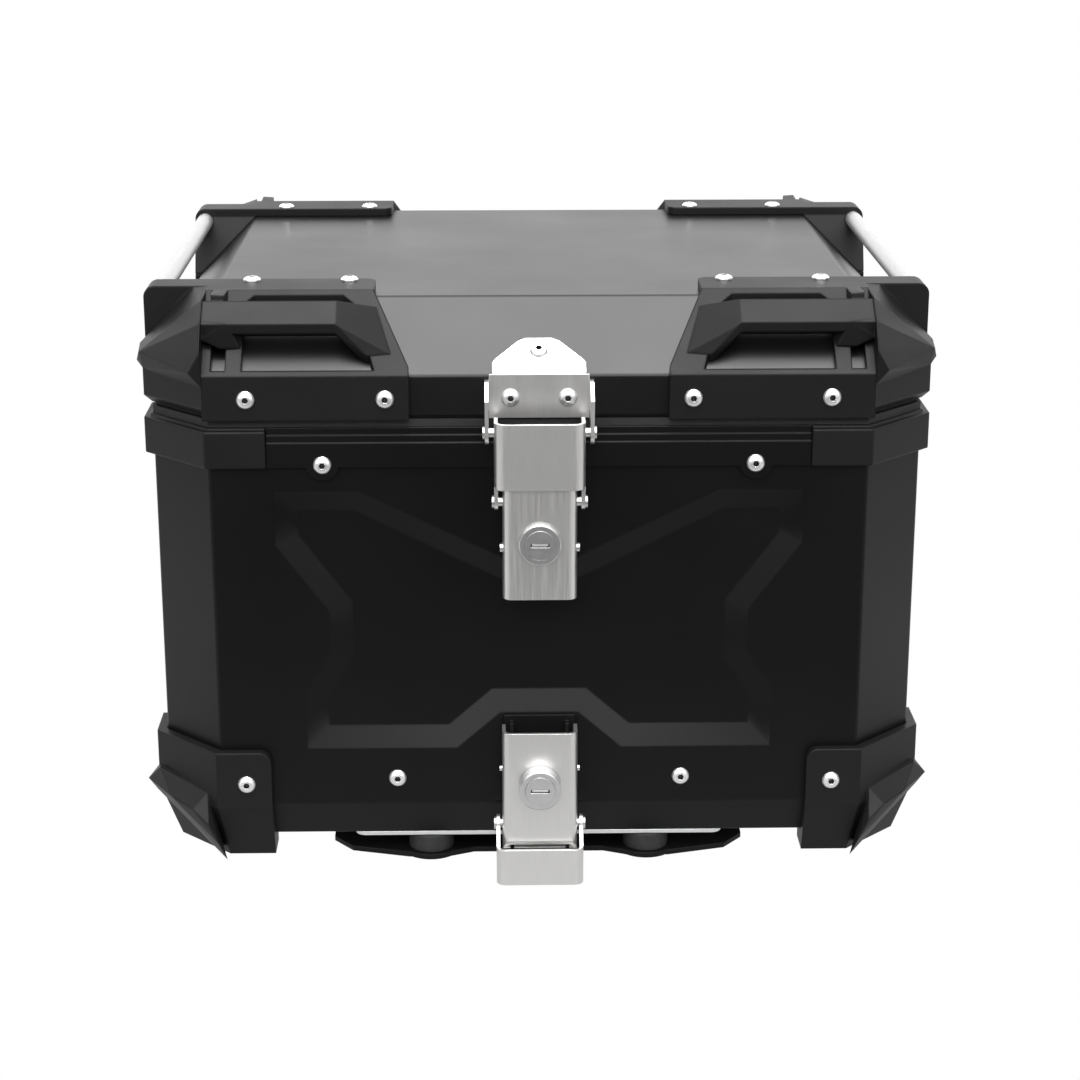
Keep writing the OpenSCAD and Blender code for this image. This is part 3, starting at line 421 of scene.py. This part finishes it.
# Right half of a pressed panel, as (across, height), with its depth, slope and fold radius, in millimetres
PRESS_HALF = ((18, 181.8), (95.6, 220.2), (140.5, 220.2), (140.5, 190), (112.5, 152.7), (112.5, 128.8),
              (126.5, 106.6), (126.5, 73.5), (44.6, 73.5), (21, 94.1))
PRESS_DEPTH, PRESS_SLOPE, PRESS_RADIUS = 5.4, 12.4, 3.5


def press_rings(width):
    """Rings (outline, depth) of the pressed panel, from the wall down to its flat, in metres."""
    left = [Vector((-x * width, z)) for x, z in PRESS_HALF]
    right = [Vector((x * width, z)) for x, z in reversed(PRESS_HALF)]
    outline = left + right
    grade = PRESS_DEPTH / PRESS_SLOPE
    reach = PRESS_RADIUS * math.tan(math.atan(grade) / 2)
    rings = []
    for k in range(5):
        t = k / 4
        rings.append((-reach + 2 * reach * t, grade * reach * t * t))
    for k in range(4, -1, -1):
        t = k / 4
        rings.append((PRESS_SLOPE + reach - 2 * reach * t, PRESS_DEPTH - grade * reach * t * t))
    return [([p * MM for p in inset(outline, d)], depth * MM) for d, depth in rings]


def new_piece(name, bm, material, body):
    """Turns a bmesh into a smooth shaded piece that rides on a body."""
    bmesh.ops.recalc_face_normals(bm, faces=bm.faces)
    for face in bm.faces:
        face.smooth = True
    mesh = bpy.data.meshes.new(name)
    bm.to_mesh(mesh)
    bm.free()
    mesh.materials.append(material)
    piece = bpy.data.objects.new(name, mesh)
    bpy.context.scene.collection.objects.link(piece)
    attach(piece, body)
    return piece


def finish_sheet(piece, bevel=0.0):
    """Gives a skin its sheet thickness, rounded folds and normals that stay flat on its faces."""
    if bevel:
        fold = piece.modifiers.new("fold", "BEVEL")
        fold.width = bevel
        fold.segments = 4
        fold.limit_method = "ANGLE"
        fold.angle_limit = math.radians(10)
    thick = piece.modifiers.new("thick", "SOLIDIFY")
    thick.thickness = SHEET
    thick.offset = -1
    thick.use_even_offset = True
    smooth = piece.modifiers.new("smooth", "WEIGHTED_NORMAL")
    smooth.keep_sharp = True


def pressed_wall(bm, corners, place, width):
    """Wall face between four corner vertices, with the pressed panel; place maps (u, z, depth) to a point."""
    rings = [[bm.verts.new(place(p.x, p.y, depth)) for p in outline] for outline, depth in press_rings(width)]
    for outer, inner in zip(rings, rings[1:]):
        for i in range(len(outer)):
            j = (i + 1) % len(outer)
            bm.faces.new((outer[i], outer[j], inner[j], inner[i]))
    bm.faces.new(rings[-1])
    loops = corners, rings[0]
    edges = [bm.edges.get((loop[i], loop[i - 1])) or bm.edges.new((loop[i], loop[i - 1]))
             for loop in loops for i in range(len(loop))]
    bmesh.ops.triangle_fill(bm, edges=edges, use_beauty=True)


def make_box_skin(material):
    """The folded box in one piece: pressed walls, corner flats, slanted foot and floor."""
    low, foot, high = 0.020, 0.042, 0.252
    fold = arc_profile((high, 0), (foot, 0), (low, -0.010), 0.006)
    hem = arc_profile((foot, 0), (low, -0.010), (low, -0.020), 0.0015)
    profile = [Vector((high, 0))] + fold + hem
    steps = 4
    bm = bmesh.new()
    rings = [[bm.verts.new((p.x, p.y, level.x)) for p in rounded(plan(level.y), 0.0035, steps)]
             for level in profile]
    count = len(rings[0])
    walls = {1 * (steps + 1) + steps: "rear", 3 * (steps + 1) + steps: "left", 5 * (steps + 1) + steps: "front",
             7 * (steps + 1) + steps: "right"}
    places = {
        "front": (1.0, lambda u, z, d: (u, -BOX_Y + d, z)), "rear": (1.0, lambda u, z, d: (-u, BOX_Y - d, z)),
        "right": (0.8, lambda u, z, d: (BOX_X - d, u, z)), "left": (0.8, lambda u, z, d: (-BOX_X + d, -u, z)),
    }
    for level, (upper, lower) in enumerate(zip(rings, rings[1:])):
        for i in range(count):
            j = (i + 1) % count
            corners = (upper[i], upper[j], lower[j], lower[i])
            if level == 0 and i in walls:
                width, place = places[walls[i]]
                pressed_wall(bm, corners, place, width)
            else:
                bm.faces.new(corners)
    bm.faces.new(rings[-1])
    piece = new_piece("box_skin", bm, material, "case")
    finish_sheet(piece)
    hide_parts("floor_pan", "wall_front", "wall_rear", "wall_left", "wall_right")


def make_lid_skin(material):
    """The folded lid: skirt, four slopes with corner facets and the flat roof."""
    bm = bmesh.new()
    low = [bm.verts.new((p.x, p.y, 0.2613)) for p in plan(0)]
    fold = [bm.verts.new((p.x, p.y, 0.2824)) for p in plan(0)]
    roof = [bm.verts.new((x * 0.1725, y * 0.136, 0.316)) for x, y in ((1, 1), (-1, 1), (-1, -1), (1, -1))]
    for i in range(8):
        j = (i + 1) % 8
        bm.faces.new((low[i], low[j], fold[j], fold[i]))
        near, far = roof[i // 2], roof[(i // 2 + 1) % 4]
        bm.faces.new((fold[i], fold[j], near) if i % 2 == 0 else (fold[i], fold[j], far, near))
    bm.faces.new(roof)
    piece = new_piece("lid_skin", bm, material, "lid")
    finish_sheet(piece, 0.0014)
    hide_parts("lid_shell")


def make_shutter(name, plug, body, material):
    """Rounded dust shutter that closes the key slot of a lock, just behind the plug's face."""
    low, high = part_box(plug)
    middle = Vector(((low[0] + high[0]) / 2, low[1] + 0.0005, (low[2] + high[2]) / 2))
    half_w, half_h, length = 0.0044, 0.0006, 0.002
    corners = ((half_w, half_h), (-half_w, half_h), (-half_w, -half_h), (half_w, -half_h))
    outline = rounded([Vector(p) for p in corners], 0.0004, 3)
    bm = bmesh.new()
    front, rear = ([bm.verts.new(middle + Vector((p.x, y, p.y))) for p in outline] for y in (0.0, length))
    for i in range(len(outline)):
        j = (i + 1) % len(outline)
        bm.faces.new((front[i], front[j], rear[j], rear[i]))
    bm.faces.new(front)
    bm.faces.new(rear)
    piece = new_piece(name, bm, material, body)
    edge = piece.modifiers.new("edge", "BEVEL")
    edge.width = 0.00015
    edge.segments = 2


make_studio()
materials = make_materials()
dress_nodes(materials)
make_box_skin(materials["case_powder_coat"])
make_lid_skin(materials["lid_paint"])
make_shutter("upper_key_shutter", "key_plug", "upper_key", materials["stainless_sheet"])
make_shutter("lower_key_shutter", "lower_key_plug", "lower_key", materials["stainless_sheet"])
for node_name, radius in EDGE.items():
    soften(node_name, radius * MM)
